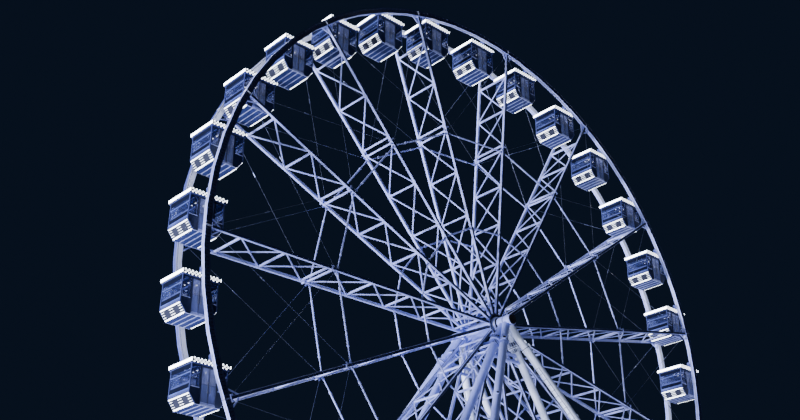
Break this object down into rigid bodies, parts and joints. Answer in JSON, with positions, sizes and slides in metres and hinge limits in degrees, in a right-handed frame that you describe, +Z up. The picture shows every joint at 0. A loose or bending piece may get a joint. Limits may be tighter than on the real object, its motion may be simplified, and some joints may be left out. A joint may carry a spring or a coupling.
{
  "type": "ferris wheel",
  "caption": "Tall fairground wheel with closed hanging cabins on twin rims, lattice spokes and splayed tubular legs.",
  "frame": {"origin": "centre of the base frame on the floor, under the hub", "axes": "+Z up; +Y along the wheel's axle towards the rear, so the front faces -Y; +X to the right seen from the front"},
  "size_m": [37.7112, 19.5, 39.1521],
  "materials": {
    "leg_paint": "satin white paint",
    "head_paint": "satin white paint",
    "base_paint": "matt grey paint",
    "hub_paint": "satin white paint",
    "rim_paint": "satin white paint",
    "spoke_paint": "satin white paint",
    "cabin_shell": "gloss white paint"
  },
  "bodies": {
    "support": {"base_frame": "base_paint", "axle_and_heads": "head_paint", "front_inner_left_leg": "leg_paint", "front_inner_right_leg": "leg_paint", "front_outer_left_leg": "leg_paint", "front_outer_right_leg": "leg_paint", "rear_inner_left_leg": "leg_paint", "rear_inner_right_leg": "leg_paint", "rear_outer_left_leg": "leg_paint", "rear_outer_right_leg": "leg_paint"},
    "wheel": {"hub": "hub_paint", "front_rim": "rim_paint", "rear_rim": "rim_paint", "spoke_01": "spoke_paint", "spoke_02": "spoke_paint", "spoke_03": "spoke_paint", "spoke_04": "spoke_paint", "spoke_05": "spoke_paint", "spoke_06": "spoke_paint", "spoke_07": "spoke_paint", "spoke_08": "spoke_paint", "spoke_09": "spoke_paint", "spoke_10": "spoke_paint", "spoke_11": "spoke_paint", "spoke_12": "spoke_paint", "spoke_13": "spoke_paint", "spoke_14": "spoke_paint", "spoke_15": "spoke_paint"},
    "cabin_01": {"cabin_01": "cabin_shell"},
    "cabin_02": {"cabin_02": "cabin_shell"},
    "cabin_03": {"cabin_03": "cabin_shell"},
    "cabin_04": {"cabin_04": "cabin_shell"},
    "cabin_05": {"cabin_05": "cabin_shell"},
    "cabin_06": {"cabin_06": "cabin_shell"},
    "cabin_07": {"cabin_07": "cabin_shell"},
    "cabin_08": {"cabin_08": "cabin_shell"},
    "cabin_09": {"cabin_09": "cabin_shell"},
    "cabin_10": {"cabin_10": "cabin_shell"},
    "cabin_11": {"cabin_11": "cabin_shell"},
    "cabin_12": {"cabin_12": "cabin_shell"},
    "cabin_13": {"cabin_13": "cabin_shell"},
    "cabin_14": {"cabin_14": "cabin_shell"},
    "cabin_15": {"cabin_15": "cabin_shell"},
    "cabin_16": {"cabin_16": "cabin_shell"},
    "cabin_17": {"cabin_17": "cabin_shell"},
    "cabin_18": {"cabin_18": "cabin_shell"},
    "cabin_19": {"cabin_19": "cabin_shell"},
    "cabin_20": {"cabin_20": "cabin_shell"},
    "cabin_21": {"cabin_21": "cabin_shell"},
    "cabin_22": {"cabin_22": "cabin_shell"},
    "cabin_23": {"cabin_23": "cabin_shell"},
    "cabin_24": {"cabin_24": "cabin_shell"},
    "cabin_25": {"cabin_25": "cabin_shell"},
    "cabin_26": {"cabin_26": "cabin_shell"},
    "cabin_27": {"cabin_27": "cabin_shell"},
    "cabin_28": {"cabin_28": "cabin_shell"},
    "cabin_29": {"cabin_29": "cabin_shell"},
    "cabin_30": {"cabin_30": "cabin_shell"}
  },
  "joints": [
    {"name": "wheel_spin", "type": "hinge", "parent": "support", "child": "wheel", "pos_m": [0, 0, 21], "axis": [0, 1, 0], "continuous": true},
    {"name": "cabin_01_pivot", "type": "hinge", "parent": "wheel", "child": "cabin_01", "pos_m": [17.10635, 0, 26.60113], "axis": [0, 1, 0], "continuous": true},
    {"name": "cabin_02_pivot", "type": "hinge", "parent": "wheel", "child": "cabin_02", "pos_m": [15.568, 0, 30.03535], "axis": [0, 1, 0], "continuous": true},
    {"name": "cabin_03_pivot", "type": "hinge", "parent": "wheel", "child": "cabin_03", "pos_m": [13.34924, 0, 33.07467], "axis": [0, 1, 0], "continuous": true},
    {"name": "cabin_04_pivot", "type": "hinge", "parent": "wheel", "child": "cabin_04", "pos_m": [10.54707, 0, 35.58627], "axis": [0, 1, 0], "continuous": true},
    {"name": "cabin_05_pivot", "type": "hinge", "parent": "wheel", "child": "cabin_05", "pos_m": [7.28393, 0, 37.46039], "axis": [0, 1, 0], "continuous": true},
    {"name": "cabin_06_pivot", "type": "hinge", "parent": "wheel", "child": "cabin_06", "pos_m": [3.70245, 0, 38.6151], "axis": [0, 1, 0], "continuous": true},
    {"name": "cabin_07_pivot", "type": "hinge", "parent": "wheel", "child": "cabin_07", "pos_m": [-0.04084, 0, 38.99995], "axis": [0, 1, 0], "continuous": true},
    {"name": "cabin_08_pivot", "type": "hinge", "parent": "wheel", "child": "cabin_08", "pos_m": [-3.78235, 0, 38.59812], "axis": [0, 1, 0], "continuous": true},
    {"name": "cabin_09_pivot", "type": "hinge", "parent": "wheel", "child": "cabin_09", "pos_m": [-7.35855, 0, 37.42716], "axis": [0, 1, 0], "continuous": true},
    {"name": "cabin_10_pivot", "type": "hinge", "parent": "wheel", "child": "cabin_10", "pos_m": [-10.61315, 0, 35.53826], "axis": [0, 1, 0], "continuous": true},
    {"name": "cabin_11_pivot", "type": "hinge", "parent": "wheel", "child": "cabin_11", "pos_m": [-13.4039, 0, 33.01397], "axis": [0, 1, 0], "continuous": true},
    {"name": "cabin_12_pivot", "type": "hinge", "parent": "wheel", "child": "cabin_12", "pos_m": [-15.60884, 0, 29.96461], "axis": [0, 1, 0], "continuous": true},
    {"name": "cabin_13_pivot", "type": "hinge", "parent": "wheel", "child": "cabin_13", "pos_m": [-17.13159, 0, 26.52345], "axis": [0, 1, 0], "continuous": true},
    {"name": "cabin_14_pivot", "type": "hinge", "parent": "wheel", "child": "cabin_14", "pos_m": [-17.90562, 0, 22.84089], "axis": [0, 1, 0], "continuous": true},
    {"name": "cabin_15_pivot", "type": "hinge", "parent": "wheel", "child": "cabin_15", "pos_m": [-17.89708, 0, 19.07788], "axis": [0, 1, 0], "continuous": true},
    {"name": "cabin_16_pivot", "type": "hinge", "parent": "wheel", "child": "cabin_16", "pos_m": [-17.10635, 0, 15.39887], "axis": [0, 1, 0], "continuous": true},
    {"name": "cabin_17_pivot", "type": "hinge", "parent": "wheel", "child": "cabin_17", "pos_m": [-15.568, 0, 11.96465], "axis": [0, 1, 0], "continuous": true},
    {"name": "cabin_18_pivot", "type": "hinge", "parent": "wheel", "child": "cabin_18", "pos_m": [-13.34924, 0, 8.92533], "axis": [0, 1, 0], "continuous": true},
    {"name": "cabin_19_pivot", "type": "hinge", "parent": "wheel", "child": "cabin_19", "pos_m": [-10.54707, 0, 6.41373], "axis": [0, 1, 0], "continuous": true},
    {"name": "cabin_20_pivot", "type": "hinge", "parent": "wheel", "child": "cabin_20", "pos_m": [-7.28393, 0, 4.53961], "axis": [0, 1, 0], "continuous": true},
    {"name": "cabin_21_pivot", "type": "hinge", "parent": "wheel", "child": "cabin_21", "pos_m": [-3.70245, 0, 3.3849], "axis": [0, 1, 0], "continuous": true},
    {"name": "cabin_22_pivot", "type": "hinge", "parent": "wheel", "child": "cabin_22", "pos_m": [0.04084, 0, 3.00005], "axis": [0, 1, 0], "continuous": true},
    {"name": "cabin_23_pivot", "type": "hinge", "parent": "wheel", "child": "cabin_23", "pos_m": [3.78235, 0, 3.40188], "axis": [0, 1, 0], "continuous": true},
    {"name": "cabin_24_pivot", "type": "hinge", "parent": "wheel", "child": "cabin_24", "pos_m": [7.35855, 0, 4.57284], "axis": [0, 1, 0], "continuous": true},
    {"name": "cabin_25_pivot", "type": "hinge", "parent": "wheel", "child": "cabin_25", "pos_m": [10.61315, 0, 6.46174], "axis": [0, 1, 0], "continuous": true},
    {"name": "cabin_26_pivot", "type": "hinge", "parent": "wheel", "child": "cabin_26", "pos_m": [13.4039, 0, 8.98603], "axis": [0, 1, 0], "continuous": true},
    {"name": "cabin_27_pivot", "type": "hinge", "parent": "wheel", "child": "cabin_27", "pos_m": [15.60884, 0, 12.03539], "axis": [0, 1, 0], "continuous": true},
    {"name": "cabin_28_pivot", "type": "hinge", "parent": "wheel", "child": "cabin_28", "pos_m": [17.13159, 0, 15.47655], "axis": [0, 1, 0], "continuous": true},
    {"name": "cabin_29_pivot", "type": "hinge", "parent": "wheel", "child": "cabin_29", "pos_m": [17.90562, 0, 19.15911], "axis": [0, 1, 0], "continuous": true},
    {"name": "cabin_30_pivot", "type": "hinge", "parent": "wheel", "child": "cabin_30", "pos_m": [17.89708, 0, 22.92212], "axis": [0, 1, 0], "continuous": true}
  ],
  "couplings": [
    {"joint": "cabin_01_pivot", "follows": "wheel_spin", "ratio": -1},
    {"joint": "cabin_02_pivot", "follows": "wheel_spin", "ratio": -1},
    {"joint": "cabin_03_pivot", "follows": "wheel_spin", "ratio": -1},
    {"joint": "cabin_04_pivot", "follows": "wheel_spin", "ratio": -1},
    {"joint": "cabin_05_pivot", "follows": "wheel_spin", "ratio": -1},
    {"joint": "cabin_06_pivot", "follows": "wheel_spin", "ratio": -1},
    {"joint": "cabin_07_pivot", "follows": "wheel_spin", "ratio": -1},
    {"joint": "cabin_08_pivot", "follows": "wheel_spin", "ratio": -1},
    {"joint": "cabin_09_pivot", "follows": "wheel_spin", "ratio": -1},
    {"joint": "cabin_10_pivot", "follows": "wheel_spin", "ratio": -1},
    {"joint": "cabin_11_pivot", "follows": "wheel_spin", "ratio": -1},
    {"joint": "cabin_12_pivot", "follows": "wheel_spin", "ratio": -1},
    {"joint": "cabin_13_pivot", "follows": "wheel_spin", "ratio": -1},
    {"joint": "cabin_14_pivot", "follows": "wheel_spin", "ratio": -1},
    {"joint": "cabin_15_pivot", "follows": "wheel_spin", "ratio": -1},
    {"joint": "cabin_16_pivot", "follows": "wheel_spin", "ratio": -1},
    {"joint": "cabin_17_pivot", "follows": "wheel_spin", "ratio": -1},
    {"joint": "cabin_18_pivot", "follows": "wheel_spin", "ratio": -1},
    {"joint": "cabin_19_pivot", "follows": "wheel_spin", "ratio": -1},
    {"joint": "cabin_20_pivot", "follows": "wheel_spin", "ratio": -1},
    {"joint": "cabin_21_pivot", "follows": "wheel_spin", "ratio": -1},
    {"joint": "cabin_22_pivot", "follows": "wheel_spin", "ratio": -1},
    {"joint": "cabin_23_pivot", "follows": "wheel_spin", "ratio": -1},
    {"joint": "cabin_24_pivot", "follows": "wheel_spin", "ratio": -1},
    {"joint": "cabin_25_pivot", "follows": "wheel_spin", "ratio": -1},
    {"joint": "cabin_26_pivot", "follows": "wheel_spin", "ratio": -1},
    {"joint": "cabin_27_pivot", "follows": "wheel_spin", "ratio": -1},
    {"joint": "cabin_28_pivot", "follows": "wheel_spin", "ratio": -1},
    {"joint": "cabin_29_pivot", "follows": "wheel_spin", "ratio": -1},
    {"joint": "cabin_30_pivot", "follows": "wheel_spin", "ratio": -1}
  ]
}
